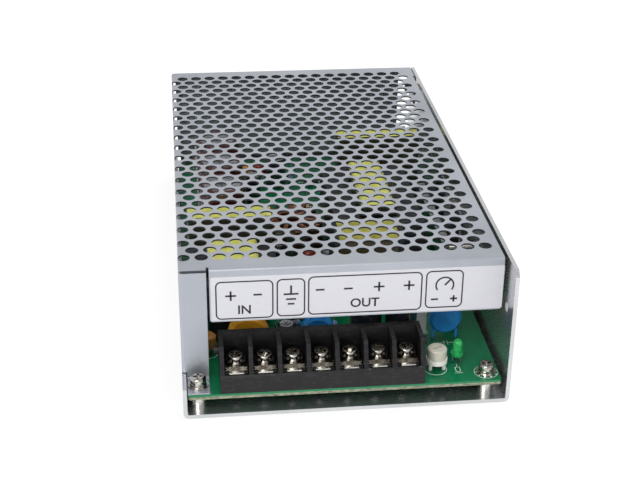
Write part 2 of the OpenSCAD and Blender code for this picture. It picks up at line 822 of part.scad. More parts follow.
module trimmer_knob() {
    low = board_top + trimmer_foot + trimmer_plate + fit_gap;
    r = trimmer_radius;
    h = trimmer_knob_height;
    color([0.80, 0.80, 0.74]) translate([trimmer_x, trimmer_y, low]) difference() {
        rotate_extrude() polygon([
            [trimmer_pin_radius + fit_gap, 0], [r, 0], [r, h - 0.3], [r - 0.3, h], [0, h],
            [0, h - 0.7], [trimmer_pin_radius + fit_gap, h - 0.7]]);
        rotate(25) translate([-trimmer_slot[0] / 2, -trimmer_slot[1] / 2, h - trimmer_slot[2]])
            cube([trimmer_slot[0], trimmer_slot[1], trimmer_slot[2] + cut]);
    }
}

module led_lens() {
    color([0.15, 0.66, 0.35]) translate([led_x, led_y, board_top + led_lift]) rotate([led_lean, 0, 0])
        rotate_extrude() polygon(concat(
            [[0, 0], [led_radius + led_flange[0], 0], [led_radius + led_flange[0], led_flange[1]],
             [led_radius, led_flange[1]]],
            [for (a = [0:15:90]) [led_radius * cos(a), led_straight + led_radius * sin(a)]]));
}

module led_leads() {
    color(nickel) leads(led_pins, board_top + led_lift - 0.35, 0.25);
}

// A lacquered disc on two coated leads, standing on edge along X
module disc_part(x, y, radius, thickness, places) {
    middle = board_top + disc_lift + radius;
    flat = thickness / 2 - disc_edge;
    translate([x, y, middle]) rotate([90, 0, 0]) rotate(20) rotate_extrude() polygon([
        [0, -thickness / 2], [radius - disc_edge, -thickness / 2], [radius, -flat], [radius, flat],
        [radius - disc_edge, thickness / 2], [0, thickness / 2]]);
    leads(places, board_top + disc_coat_foot + 0.3);
    for (p = places)
        translate([p[0], p[1], board_top + disc_coat_foot])
            cylinder(r = disc_coat_radius, h = disc_lift + 0.4 * radius - disc_coat_foot);
}

module left_disc_capacitor() {
    color(disc_blue) disc_part(left_disc_x, left_disc_y, left_disc_radius, disc_thickness, left_disc_pins);
}

module right_disc_capacitor() {
    color(disc_blue) disc_part(right_disc_x, disc_y, right_disc_radius, disc_thickness, right_disc_pins);
}

module surge_varistor() {
    color([0.78, 0.55, 0.12])
        disc_part(varistor_x, varistor_y, varistor_radius, disc_thickness + 0.6, varistor_pins);
}

// ---- Capacitors, fuse and circuit ----

module box_capacitor(size, x, y, places) {
    translate([x, y, board_top]) rounded_box(size, 0.6);
    leads(places, board_top + cut / 2);
}

module grey_film_capacitor() {
    color([0.75, 0.75, 0.74]) box_capacitor(grey_film_size, grey_film_x, grey_film_y, grey_film_pins);
}

module input_film_capacitor() {
    color(tape_yellow) box_capacitor(input_film_size, input_film_x, input_film_y, input_film_pins);
}

module output_film_capacitor() {
    color(tape_yellow) box_capacitor(output_film_size, output_film_x, output_film_y, output_film_pins);
}

// Can of an electrolytic capacitor: crimp groove near its foot and a shallow dished top
module capacitor_can(radius, height) {
    rotate_extrude() polygon([
        [0, 0], [radius - 0.6, 0], [radius, 0.6], [radius, 2.2], [radius - 0.6, 2.9], [radius, 3.6],
        [radius, height - 0.7], [radius - 0.7, height], [radius - 1.6, height], [radius - 1.9, height - 0.3],
        [0, height - 0.3]]);
}

// Shrunk sleeve, turned in over the can's shoulder
module capacitor_sleeve(radius, height) {
    gap = fit_gap;
    t = sleeve_thickness;
    rotate_extrude() polygon([
        [radius + gap, 0.8], [radius + gap + t, 0.8], [radius + gap + t, height - 0.7],
        [radius - 0.7 + gap + t, height + gap + t], [radius - 1.5, height + gap + t],
        [radius - 1.5, height + gap], [radius - 0.7 + gap, height + gap], [radius + gap, height - 0.7]]);
}

module bulk_capacitor(i) {
    color(bright_aluminium) {
        translate([bulk_x, bulk_y[i - 1], board_top]) capacitor_can(bulk_radius, bulk_height);
        leads(pair_x(bulk_x, bulk_y[i - 1], 3.75), board_top + cut / 2);
    }
}

module bulk_sleeve(i) {
    color([0.30, 0.12, 0.12])
        translate([bulk_x, bulk_y[i - 1], board_top]) capacitor_sleeve(bulk_radius, bulk_height);
}

module output_capacitor(i) {
    color(moulded_black) {
        translate([output_can_x[i - 1], output_can_y, board_top])
            capacitor_can(output_can_radius, output_can_height);
        leads(pair_x(output_can_x[i - 1], output_can_y, 2.5), board_top + cut / 2);
    }
}

module fuse() {
    edge = 0.8;
    low = board_top + fuse_lift;
    color([0.60, 0.42, 0.16]) {
        translate([fuse_x, fuse_y, low]) rotate_extrude() polygon([
            [0, 0], [fuse_radius, 0], [fuse_radius, fuse_height - edge], [fuse_radius - edge, fuse_height],
            [0, fuse_height]]);
        leads(fuse_pins, low + cut / 2);
    }
}

module control_ic() {
    size = control_ic_size;
    lift = 0.5;
    color(moulded_black) {
        translate([control_ic_x, control_ic_y, board_top + lift]) difference() {
            translate([-size[0] / 2, -size[1] / 2, 0]) cube(size);
            translate([0, size[1] / 2, size[2] - 0.4]) cylinder(r = 1, h = 1);
        }
        leads(ic_pins, board_top + lift + 1.6, 0.25);
        for (i = [0:7])
            translate([control_ic_x - ic_row / 2, ic_pins[i][1] - 0.4, board_top + lift + 1.3])
                cube([ic_row, 0.8, 0.3]);
    }
}

// ---- Wound parts ----

// Two E cores glued leg to leg, lying flat with their legs along Y
module e_core(centre, size, leg, yoke, hub, axis) {
    translate([centre[0], centre[1], board_top + axis - size[2] / 2]) linear_extrude(size[2]) {
        difference() {
            square([size[0], size[1]], center = true);
            square([size[0] - 2 * leg, size[1] - 2 * yoke], center = true);
        }
        square([hub, size[1] - 2 * yoke + cut], center = true);
    }
}

// Coil former: a square tube on the hub, two flanges, and a pin rail under each yoke
module former(centre, size, leg, yoke, hub, axis, count) {
    window = [size[0] - 2 * leg - 2 * winding_gap, size[1] - 2 * yoke - 2 * winding_gap];
    bore = [hub + 2 * former_gap, size[2] + 2 * former_gap];
    rail_start = window[1] / 2 - former_wall;
    rail_length = max(window[0], count * rail_pitch);
    translate([centre[0], centre[1], board_top + axis]) difference() {
        union() {
            cube([bore[0] + 2 * former_wall, window[1], bore[1] + 2 * former_wall], center = true);
            for (s = [-1, 1])
                translate([0, s * (window[1] - former_wall) / 2, 0])
                    cube([window[0], former_wall, size[2] + 2 * former_flange_rise], center = true);
        }
        cube([bore[0], window[1] + cut, bore[1]], center = true);
    }
    for (s = [0, 1])
        translate([centre[0], centre[1], board_top]) mirror([0, s, 0])
            translate([-rail_length / 2, rail_start, 0])
                cube([rail_length, size[1] / 2 - rail_start - rail_inset, axis - size[2] / 2 - former_gap]);
    leads(rail_pins(centre, size, yoke, count), board_top + cut / 2);
}

// Winding with its outer tape, round cornered, between the former's flanges
module former_winding(centre, size, leg, yoke, hub, axis, wound_height) {
    length = size[1] - 2 * (yoke + winding_gap + former_wall) - former_gap;
    width = size[0] - 2 * leg - 2 * winding_gap;
    around = 2 * (2 * former_gap + former_wall);
    translate([centre[0], centre[1], board_top + axis])
        along_y(-length / 2, length) difference() {
            rounded_square([width, wound_height], tape_corner);
            square([hub + around, size[2] + around], center = true);
        }
}

module input_choke_core() {
    color(ferrite_black) e_core(choke_centre, choke_core, choke_leg, choke_yoke, choke_hub, choke_axis);
}

module input_choke_bobbin() {
    color(moulded_black)
        former(choke_centre, choke_core, choke_leg, choke_yoke, choke_hub, choke_axis, choke_pin_count);
}

module input_choke_winding() {
    color(tape_yellow) former_winding(choke_centre, choke_core, choke_leg, choke_yoke, choke_hub,
        choke_axis, choke_winding_height);
}

module transformer_core() {
    color(ferrite_black) e_core(transformer_centre, transformer_core_size, transformer_leg,
        transformer_yoke, transformer_hub, transformer_axis);
}

module transformer_bobbin() {
    color(moulded_black) former(transformer_centre, transformer_core_size, transformer_leg,
        transformer_yoke, transformer_hub, transformer_axis, transformer_pin_count);
}

module transformer_winding() {
    color(tape_yellow) former_winding(transformer_centre, transformer_core_size, transformer_leg,
        transformer_yoke, transformer_hub, transformer_axis, transformer_winding_height);
}

// Output choke: a ferrite spool lying along X, standing on the edges of its flanges
module output_choke_core() {
    middle = board_top + spool_lift + spool_flange[2] / 2;
    color(ferrite_black) {
        translate([spool_centre[0], spool_centre[1], middle]) {
            along_x(-spool_length / 2, spool_length) rounded_square(spool_hub, 2);
            for (x = [-spool_length / 2, spool_length / 2 - spool_flange[0]])
                along_x(x, spool_flange[0]) rounded_square([spool_flange[1], spool_flange[2]], 4);
        }
        leads(spool_pins, board_top + spool_lift + cut);
    }
}

module output_choke_winding() {
    middle = board_top + spool_lift + spool_flange[2] / 2;
    length = spool_length - 2 * spool_flange[0] - 0.2;
    color([0.62, 0.60, 0.20]) translate([spool_centre[0], spool_centre[1], middle])
        along_x(-length / 2, length) difference() {
            rounded_square(spool_winding, 3.8);
            rounded_square([spool_hub[0] + 0.1, spool_hub[1] + 0.1], 2.05);
        }
}

module toroid_core() {
    low = board_top + toroid_wire;
    color([0.25, 0.33, 0.27]) translate([toroid_x, toroid_y, low])
        rotate_extrude() polygon([
            [toroid_inner, 0.5], [toroid_inner + 0.5, 0], [toroid_outer - 0.5, 0], [toroid_outer, 0.5],
            [toroid_outer, toroid_height - 0.5], [toroid_outer - 0.5, toroid_height],
            [toroid_inner + 0.5, toroid_height], [toroid_inner, toroid_height - 0.5]]);
}

// Each turn is a rectangular loop of wire round the ring's section
module toroid_winding() {
    gap = fit_gap;
    w = toroid_wire;
    low = board_top + toroid_wire;
    color(copper) {
        for (i = [0:toroid_turns - 1]) translate([toroid_x, toroid_y, low])
            rotate((i + 0.5) * 360 / toroid_turns) along_y(-w / 2, w) difference() {
                translate([toroid_inner - w, -w + gap])
                    square([toroid_outer - toroid_inner + 2 * w, toroid_height + 2 * w - 2 * gap]);
                translate([toroid_inner - gap, -gap])
                    square([toroid_outer - toroid_inner + 2 * gap, toroid_height + 2 * gap]);
            }
        leads(toroid_pins, board_top + toroid_wire - gap - 0.1);
    }
}

// ---- Power devices ----

// A transistor or rectifier standing against the side wall: moulded body, metal tab and three leads
module power_device(i) {
    low = board_top + device_base;
    translate([device_front, device_y[i] - device_width / 2, low]) difference() {
        union() {
            cube([device_thickness, device_width, device_body_height]);
            translate([device_thickness - device_tab_thickness, 0, device_body_height - 0.2])
                cube([device_tab_thickness, device_width, device_height - device_body_height + 0.2]);
        }
        translate([device_thickness - device_tab_thickness - cut, device_width / 2,
                   (device_height + device_body_height) / 2])
            rotate([0, 90, 0]) cylinder(r = 1.8, h = device_tab_thickness + 2 * cut);
    }
    leads([for (k = [-1:1]) [device_lead_x, device_y[i] + k * device_lead_pitch]], low + cut / 2);
}

module switch_transistor() {
    color(moulded_black) power_device(0);
}

module output_rectifier() {
    color(moulded_black) power_device(1);
}

module insulating_pad() {
    margin = 0.6;
    color([0.66, 0.64, 0.68])
        translate([inner_right - pad_thickness, device_y[0] - device_width / 2 - margin, board_top + device_base - margin])
            cube([pad_thickness, device_y[1] - device_y[0] + device_width + 2 * margin, device_height + 2 * margin]);
}

module clamp_bar() {
    first = device_y[0] - device_width / 2 - clamp_bar_overhang;
    length = device_y[1] - device_y[0] + device_width + 2 * clamp_bar_overhang;
    color(bright_aluminium) difference() {
        translate([device_front - clamp_bar_thickness, first, clamp_bar_z - clamp_bar_height / 2])
            cube([clamp_bar_thickness, length, clamp_bar_height]);
        at_clamp_screws() translate([0, 0, -clamp_screw_length - cut])
            cylinder(r = screw_radius + fit_gap, h = clamp_screw_length);
    }
}

module clamp_bar_screws() {
    color(nickel) at_clamp_screws() flat_screw(clamp_screw_length);
}

// ---- Output ----

chassis();
cover();
cover_screws();
main_board();
board_standoffs();
board_screws();
board_spring_washers();
board_flat_washers();
solder_joints();
terminal_block();
terminal_plates();
for (i = [1:terminal_count]) {
    clamp_plate(i);
    terminal_screw(i);
}
trimmer_base();
trimmer_knob();
led_lens();
led_leads();
left_disc_capacitor();
right_disc_capacitor();
surge_varistor();
grey_film_capacitor();
for (i = [1:3]) {
    bulk_capacitor(i);
    bulk_sleeve(i);
}
output_capacitor(1);  // output_capacitor_1
output_capacitor(2);  // output_capacitor_2
input_film_capacitor();
output_film_capacitor();
input_choke_core();
input_choke_bobbin();
input_choke_winding();
transformer_core();
transformer_bobbin();
transformer_winding();
output_choke_core();
output_choke_winding();
toroid_core();
toroid_winding();
switch_transistor();
output_rectifier();
insulating_pad();
clamp_bar();
clamp_bar_screws();
control_ic();
fuse();
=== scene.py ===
"""Looks of an enclosed switching power supply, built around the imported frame

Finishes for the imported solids, the label and the printing, small parts on the board, and the studio.
"""

import json
import math

import bmesh
import bpy
from mathutils import Matrix, Vector


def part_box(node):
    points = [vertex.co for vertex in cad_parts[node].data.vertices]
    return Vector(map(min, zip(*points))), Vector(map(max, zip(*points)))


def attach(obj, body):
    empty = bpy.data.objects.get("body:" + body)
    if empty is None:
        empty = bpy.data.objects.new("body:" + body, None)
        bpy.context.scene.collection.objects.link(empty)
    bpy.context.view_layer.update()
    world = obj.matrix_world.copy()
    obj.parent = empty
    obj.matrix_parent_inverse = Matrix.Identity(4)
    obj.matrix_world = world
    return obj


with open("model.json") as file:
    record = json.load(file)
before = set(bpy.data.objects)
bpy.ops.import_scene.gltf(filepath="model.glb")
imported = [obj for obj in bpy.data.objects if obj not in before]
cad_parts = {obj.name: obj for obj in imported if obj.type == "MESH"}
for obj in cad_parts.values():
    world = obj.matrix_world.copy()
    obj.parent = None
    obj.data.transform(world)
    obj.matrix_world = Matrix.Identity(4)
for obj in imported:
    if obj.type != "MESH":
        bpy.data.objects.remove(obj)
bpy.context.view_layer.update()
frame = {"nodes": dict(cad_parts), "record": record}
nodes = frame["nodes"]
MM = 0.001

# Sizes of the folded cover that its box alone doesn't give
COVER_SHEET = 0.5 * MM
COVER_DEPTH = 168.5 * MM
LIP_INSET = 8.9 * MM
LIP_DROP = 17.5 * MM

# ---------------------------------------------------------------- places taken from the frame

cover_low, cover_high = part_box("cover")
board_low, board_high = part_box("main_board")
board_top = board_high.z
lip_plane = cover_high.y - COVER_DEPTH
lip_left = cover_low.x + LIP_INSET
lip_right = cover_high.x
lip_bottom = cover_high.z - LIP_DROP


def middle(node):
    """The middle of a solid's box, in metres"""
    low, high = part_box(node)
    return (low + high) / 2


# ---------------------------------------------------------------- finishes

def tone(red, green, blue):
    """A colour as a paint chart gives it, from 0 to 255, turned to linear light"""
    shares = [part / 255 for part in (red, green, blue)]
    return tuple(s / 12.92 if s < 0.04045 else ((s + 0.055) / 1.055) ** 2.4 for s in shares) + (1.0,)


class Nodes:
    """The nodes of a material or of the world, and the steps that both need"""

    def __init__(self, owner):
        owner.use_nodes = True
        self.tree = owner.node_tree

    def add(self, kind, **settings):
        node = self.tree.nodes.new(kind)
        for key, value in settings.items():
            setattr(node, key, value)
        return node

    def join(self, source, target):
        self.tree.links.new(source, target)

    def ramp(self, value, start, end, low=0.0, high=1.0):
        """Spreads a value from start to end over low to high, and holds it there beyond them"""
        spread = self.add("ShaderNodeMapRange", clamp=True)
        for key, number in (("From Min", start), ("From Max", end), ("To Min", low), ("To Max", high)):
            spread.inputs[key].default_value = number
        self.join(value, spread.inputs["Value"])
        return spread.outputs["Result"]

    def height_of(self, vector):
        """The Z of a place or a direction"""
        split = self.add("ShaderNodeSeparateXYZ")
        self.join(vector, split.inputs["Vector"])
        return split.outputs["Z"]


class Finish(Nodes):
    """A procedural finish: its shader, and the few steps that most of them share"""

    def __init__(self, name, colour, roughness, metal=0.0):
        self.material = bpy.data.materials.new(name)
        super().__init__(self.material)
        self.shader = self.tree.nodes["Principled BSDF"]
        self.shader.inputs["Base Color"].default_value = colour
        self.shader.inputs["Roughness"].default_value = roughness
        self.shader.inputs["Metallic"].default_value = metal
        self.material.diffuse_color = colour
        self.where = self.add("ShaderNodeTexCoord").outputs["Object"]
        self.last_normal = None

    def stretched(self, scale, turn=(0, 0, 0)):
        """Object coordinates in another scale and turn, for grain that runs one way"""
        place = self.add("ShaderNodeMapping")
        place.inputs["Scale"].default_value = scale
        place.inputs["Rotation"].default_value = turn
        self.join(self.where, place.inputs["Vector"])
        return place.outputs["Vector"]

    def clouds(self, scale, detail=3.0, where=None, rough=0.5):
        noise = self.add("ShaderNodeTexNoise")
        noise.inputs["Scale"].default_value = scale
        noise.inputs["Detail"].default_value = detail
        noise.inputs["Roughness"].default_value = rough
        self.join(where or self.where, noise.inputs["Vector"])
        return noise.outputs["Fac"]

    def cells(self, scale, distance="EUCLIDEAN", where=None):
        cells = self.add("ShaderNodeTexVoronoi", distance=distance)
        cells.inputs["Scale"].default_value = scale
        self.join(where or self.where, cells.inputs["Vector"])
        return cells

    def blend(self, factor, first, second):
        """A mix of two colours, each a colour or a socket"""
        mix = self.add("ShaderNodeMix", data_type="RGBA")
        self.join(factor, mix.inputs["Factor"])
        sockets = [socket for socket in mix.inputs if socket.type == "RGBA"]
        for socket, value in zip(sockets, (first, second)):
            if isinstance(value, tuple):
                socket.default_value = value
            else:
                self.join(value, socket)
        return [s for s in mix.outputs if s.type == "RGBA"][0]

    def colour(self, socket):
        self.join(socket, self.shader.inputs["Base Color"])

    def sheen_of(self, socket):
        self.join(socket, self.shader.inputs["Roughness"])

    def relief(self, height, strength, depth):
        bump = self.add("ShaderNodeBump")
        bump.inputs["Strength"].default_value = strength
        bump.inputs["Distance"].default_value = depth
        self.join(height, bump.inputs["Height"])
        if self.last_normal:
            self.join(self.last_normal, bump.inputs["Normal"])
        self.last_normal = bump.outputs["Normal"]
        self.join(self.last_normal, self.shader.inputs["Normal"])

    def facing(self):
        """How far a surface faces up, from 0 on a wall to 1 on a flat"""
        size = self.add("ShaderNodeMath", operation="ABSOLUTE")
        self.join(self.height_of(self.add("ShaderNodeNewGeometry").outputs["Normal"]), size.inputs[0])
        return size.outputs[0]

    def height(self, low, high):
        """From 0 at one height to 1 at another"""
        return self.ramp(self.height_of(self.where), low, high)


def rolled_sheet(name, dark, light, roughness, metal, grain):
    """Bare rolled sheet: long fine grain, slow clouds in its colour, a little wear in its gloss"""
    sheet = Finish(name, light, roughness, metal)
    streaks = sheet.clouds(1.0, 4, sheet.stretched(grain))
    clouds = sheet.clouds(38, 4)
    sheet.colour(sheet.blend(sheet.ramp(clouds, 0.3, 0.7), dark, light))
    sheet.sheen_of(sheet.ramp(streaks, 0.25, 0.75, roughness * 0.85, roughness * 1.2))
    sheet.relief(streaks, 0.12, 0.04 * MM)
    return sheet


def pierced_sheet():
    """The cover's plated sheet, with painted shade on the walls of the holes in its top"""
    sheet = rolled_sheet("zinc_sheet", tone(168, 172, 180), tone(183, 187, 195), 0.42, 0.75, (2600, 90, 2600))
    flat = sheet.shader.inputs["Base Color"].links[0].from_socket
    underside = cover_high.z - COVER_SHEET
    # Painted shade: upright faces within the top sheet's thickness, the walls of the holes, take a dark grey
    within_top = sheet.height(underside - 0.02 * MM, underside + 0.02 * MM)
    painted_hole_shade = sheet.blend(within_top, flat, tone(72, 75, 80))
    sheet.colour(sheet.blend(sheet.ramp(sheet.facing(), 0.1, 0.3), painted_hole_shade, flat))
    return sheet.material


def plated(name, dark, light, roughness):
    """Bright plate over a turned or pressed part: fine tool marks and thin dull patches"""
    plate = Finish(name, light, roughness, 1.0)
    patches = plate.clouds(900, 3)
    plate.colour(plate.blend(plate.ramp(patches, 0.35, 0.7), dark, light))
    plate.sheen_of(plate.ramp(plate.clouds(1300, 2), 0.3, 0.7, roughness * 0.8, roughness * 1.3))
    plate.relief(plate.clouds(1900, 2), 0.05, 0.02 * MM)
    return plate.material


def moulding(name, base, scuffed, roughness, grain=5200, coat=0.0, marks=None, specular=0.5):
    """Moulded plastic: sparked skin, pale scuffs and, where it was handled, fine scratches"""
    skin = Finish(name, base, roughness)
    scuffs = skin.clouds(1.0, 5, skin.stretched((340, 340, 900), (0.3, 0.2, 0.5)), 0.62)
    colour = skin.blend(skin.ramp(scuffs, 0.5, 0.86), base, scuffed)
    if marks:
        scratches = skin.clouds(1.0, 6, skin.stretched((420, 420, 1500), (0.1, 0.5, 0.2)), 0.7)
        colour = skin.blend(skin.ramp(scratches, 0.63, 0.70, 0, 0.7), colour, marks)
    skin.colour(colour)
    skin.sheen_of(skin.ramp(skin.clouds(420, 4), 0.3, 0.7, roughness * 0.85, roughness * 1.15))
    skin.relief(skin.clouds(grain, 2), 0.18, 0.04 * MM)
    skin.shader.inputs["Coat Weight"].default_value = coat
    skin.shader.inputs["Specular IOR Level"].default_value = specular
    return skin.material


def lacquered(name, base, thick, roughness=0.28, coat=0.4):
    """A dipped lacquer coat: soft orange peel, darker where it pooled"""
    lacquer = Finish(name, base, roughness)
    lacquer.colour(lacquer.blend(lacquer.ramp(lacquer.clouds(240, 3), 0.35, 0.7), base, thick))
    lacquer.relief(lacquer.clouds(700, 2), 0.25, 0.12 * MM)
    lacquer.shader.inputs["Coat Weight"].default_value = coat
    lacquer.shader.inputs["Coat Roughness"].default_value = 0.12
    return lacquer.material


TAPE_WIDTH = 9 * MM
BAND_AT_SCALE_ONE = 0.314


def taped(name, base, shade, side, along):
    """Turns of polyester tape: lapped edges, fine wrinkles, and painted shade on its sides, which take a
    darker colour than its top
    """
    tape = Finish(name, base, 0.3)
    lap = tape.add("ShaderNodeTexWave", wave_type="BANDS", bands_direction=along, wave_profile="SAW")
    lap.inputs["Scale"].default_value = BAND_AT_SCALE_ONE / TAPE_WIDTH
    lap.inputs["Distortion"].default_value = 0.4
    lap.inputs["Detail"].default_value = 1.0
    tape.join(tape.where, lap.inputs["Vector"])
    wrinkles = tape.clouds(420, 4)
    top = tape.blend(tape.ramp(wrinkles, 0.3, 0.75), base, shade)
    # Painted shade: upright faces take the dark side colour, flat tops the tape's own colours
    tape.colour(tape.blend(tape.ramp(tape.facing(), 0.35, 0.6), side, top))
    tape.relief(lap.outputs["Fac"], 0.5, 0.12 * MM)
    tape.relief(wrinkles, 0.3, 0.15 * MM)
    tape.shader.inputs["Coat Weight"].default_value = 0.35
    return tape.material


def circuit_board():
    """Solder mask over copper tracks, with vias, and the raw laminate at the cut edges"""
    board = Finish("board_laminate", tone(8, 100, 64), 0.3)
    tracks = board.cells(115, "CHEBYCHEV", board.stretched((1, 0.7, 1)))
    fine = board.cells(420, "CHEBYCHEV", board.stretched((1, 0.35, 1), (0, 0, 0.785)))
    vias = board.ramp(board.cells(150).outputs["Distance"], 0.045, 0.06)
    mask = board.blend(board.ramp(board.clouds(55, 3), 0.3, 0.7), tone(4, 86, 54), tone(10, 108, 68))
    mask = board.blend(board.ramp(tracks.outputs["Color"], 0.42, 0.45, 0, 0.45), mask, tone(14, 118, 76))
    mask = board.blend(board.ramp(fine.outputs["Distance"], 0.50, 0.53, 0, 0.25), mask, tone(4, 70, 44))
    mask = board.blend(vias, tone(60, 120, 86), mask)
    weave = board.clouds(1.0, 3, board.stretched((700, 700, 2600)))
    edge = board.blend(board.ramp(weave, 0.3, 0.7), tone(86, 94, 74), tone(160, 160, 138))
    edge = board.blend(board.height(board_low.z + 0.8 * MM, board_low.z + 1.0 * MM), edge, tone(20, 116, 74))
    board.colour(board.blend(board.ramp(board.facing(), 0.4, 0.6), edge, mask))
    board.relief(board.ramp(tracks.outputs["Color"], 0.42, 0.45), 0.25, 0.04 * MM)
    board.shader.inputs["Specular IOR Level"].default_value = 0.35
    board.shader.inputs["Coat Weight"].default_value = 0.12
    board.shader.inputs["Coat Roughness"].default_value = 0.15
    return board.material


def wound_wire(name, base, dark):
    """Enamelled copper turns, with painted brown shade between them"""
    wire = Finish(name, base, 0.25, 0.85)
    rings = wire.clouds(1700, 2)
    # Painted shade: fine clouds of dark brown over the copper, standing for the shade between turns
    wire.colour(wire.blend(wire.ramp(rings, 0.35, 0.7), dark, base))
    wire.relief(wire.clouds(2600, 2), 0.3, 0.1 * MM)
    wire.shader.inputs["Coat Weight"].default_value = 0.6
    return wire.material


def lamp_lens():
    """Tinted clear epoxy, a little milky inside"""
    lens = Finish("green_lens", tone(38, 184, 96), 0.12)
    lens.shader.inputs["Transmission Weight"].default_value = 0.35
    lens.shader.inputs["IOR"].default_value = 1.52
    lens.shader.inputs["Subsurface Weight"].default_value = 0.35
    lens.shader.inputs["Subsurface Radius"].default_value = (0.0004, 0.0012, 0.0006)
    lens.shader.inputs["Subsurface Scale"].default_value = 1.0
    lens.colour(lens.blend(lens.ramp(lens.clouds(900, 2), 0.3, 0.7), tone(28, 168, 84), tone(72, 208, 124)))
    lens.relief(lens.clouds(1500, 1), 0.05, 0.05 * MM)
    return lens.material


finishes = {
    "bright_aluminium": rolled_sheet("bright_aluminium", tone(200, 202, 204), tone(218, 219, 221), 0.25, 0.92,
                                     (90, 3000, 3000)).material,
    "zinc_sheet": pierced_sheet(),
    "nickel_steel": plated("nickel_steel", tone(150, 146, 140), tone(226, 222, 214), 0.13),
    "nickel_brass": plated("nickel_brass", tone(206, 203, 196), tone(236, 234, 228), 0.26),
    "solder": plated("solder", tone(120, 121, 122), tone(158, 159, 160), 0.3),
    "tinned_lead": plated("tinned_lead", tone(188, 188, 186), tone(218, 218, 216), 0.24),
    "board_laminate": circuit_board(),
    "black_moulding": moulding("black_moulding", tone(18, 17, 19), tone(46, 43, 48), 0.4,
                               marks=tone(92, 86, 96), specular=0.35),
    "white_moulding": moulding("white_moulding", tone(226, 226, 220), tone(205, 206, 198), 0.4),
    "ivory_moulding": moulding("ivory_moulding", tone(188, 186, 172), tone(160, 160, 146), 0.34, coat=0.2),
    "green_lens": lamp_lens(),
    "blue_lacquer": lacquered("blue_lacquer", tone(42, 136, 208), tone(28, 108, 176)),
    "amber_lacquer": lacquered("amber_lacquer", tone(222, 160, 44), tone(190, 124, 26)),
    "grey_moulding": moulding("grey_moulding", tone(236, 236, 234), tone(214, 214, 211), 0.42),
    "can_aluminium": rolled_sheet("can_aluminium", tone(186, 188, 194), tone(212, 214, 220), 0.3, 0.9,
                                  (900, 900, 900)).material,
    "brown_sleeve": moulding("brown_sleeve", tone(70, 26, 26), tone(104, 48, 42), 0.22, 1400, 0.5),
    "black_sleeve": moulding("black_sleeve", tone(30, 31, 38), tone(58, 60, 70), 0.22, 1400, 0.5),
    # The last tone of each tape is painted shade for the upright sides of its winding
    "yellow_tape": taped("yellow_tape", tone(226, 228, 118), tone(206, 206, 92), tone(58, 58, 42), "Y"),
    "olive_tape": taped("olive_tape", tone(186, 182, 78), tone(152, 146, 54), tone(74, 66, 40), "X"),
    "ferrite": moulding("ferrite", tone(36, 37, 40), tone(70, 70, 72), 0.5, 2400),
    "green_core": moulding("green_core", tone(54, 76, 62), tone(74, 98, 82), 0.4, 2400, 0.2),
    # The wire's second tone is painted shade between its turns
    "copper_wire": wound_wire("copper_wire", tone(196, 112, 62), tone(120, 58, 30)),
    "black_epoxy": moulding("black_epoxy", tone(34, 34, 36), tone(60, 60, 62), 0.45, 3600),
    "silicone_pad": moulding("silicone_pad", tone(170, 166, 172), tone(150, 146, 154), 0.6, 2600),
    "brown_fuse": moulding("brown_fuse", tone(168, 120, 58), tone(140, 96, 44), 0.3, 2600, 0.3),
}
pressed_steel = plated("pressed_steel", tone(92, 88, 82), tone(156, 151, 142), 0.2)
for entry in frame["record"]["subparts"]:
    node = nodes[entry["node"]]
    node.data.materials.clear()
    clamp = entry["node"].startswith("clamp_plate")
    node.data.materials.append(pressed_steel if clamp else finishes[entry["material_slot"]])

label_film = moulding("label_film", tone(196, 196, 202), tone(190, 190, 197), 0.42, 2600)
label_ink = moulding("label_ink", tone(34, 31, 33), tone(48, 45, 47), 0.5, 2600)
silk_ink = moulding("silk_ink", tone(206, 216, 206), tone(168, 190, 174), 0.5, 2600)

# ---------------------------------------------------------------- making and placing pieces


def finished(name, shape, *materials, slot=None):
    """Turns a bmesh into a piece that rides on the case"""
    bmesh.ops.recalc_face_normals(shape, faces=shape.faces)
    mesh = bpy.data.meshes.new(name)
    shape.to_mesh(mesh)
    shape.free()
    for material in materials:
        mesh.materials.append(material)
    piece = bpy.data.objects.new(name, mesh)
    bpy.context.scene.collection.objects.link(piece)
    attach(piece, "case")


def stroke(shape, start, end, width, height, out=(0, 0, 1)):
    """A thin flat bar from start to end, its height measured along out"""
    run = Vector(end) - Vector(start)
    along = run.normalized()
    up = Vector(out)
    across = up.cross(along)
    turn = Matrix((along, across, up)).transposed().to_4x4()
    size = Matrix.Diagonal((run.length, width, height, 1))
    place = Matrix.Translation((Vector(start) + Vector(end)) / 2)
    bmesh.ops.create_cube(shape, size=1.0, matrix=place @ turn @ size)


def thicken(shape, faces, offset):
    """Raises flat faces by offset, with walls round them"""
    raised = bmesh.ops.extrude_face_region(shape, geom=faces)
    corners = [part for part in raised["geom"] if isinstance(part, bmesh.types.BMVert)]
    bmesh.ops.translate(shape, verts=corners, vec=offset)


def rounded_sheet(shape, size, corner, place, steps):
    """A flat rectangle with round corners, as one face"""
    made = bmesh.ops.create_grid(shape, x_segments=1, y_segments=1, size=0.5,
                                 matrix=place @ Matrix.Diagonal((size[0], size[1], 1, 1)))
    rounded = bmesh.ops.bevel(shape, geom=made["verts"], offset=corner, offset_type="OFFSET", segments=steps,
                              profile=0.5, affect="VERTICES", material=-1)
    return max({f for v in rounded["verts"] for f in v.link_faces}, key=lambda f: f.calc_area())


def keep_line(shape, sheet, line, offset):
    """Leaves only a line round the edge of a flat face, and gives it the ink's thickness"""
    rim = bmesh.ops.inset_region(shape, faces=[sheet], thickness=line, use_boundary=True,
                                 use_even_offset=True)
    bmesh.ops.delete(shape, geom=[sheet], context="FACES_ONLY")
    thicken(shape, rim["faces"], offset)


def rounded_outline(shape, size, corner, line, place, offset, steps=6):
    keep_line(shape, rounded_sheet(shape, size, corner, place, steps), line, offset)


def drawn_ring(shape, place, radius, line, offset):
    made = bmesh.ops.create_circle(shape, cap_ends=True, segments=40, radius=radius, matrix=place)
    keep_line(shape, made["verts"][0].link_faces[0], line, offset)


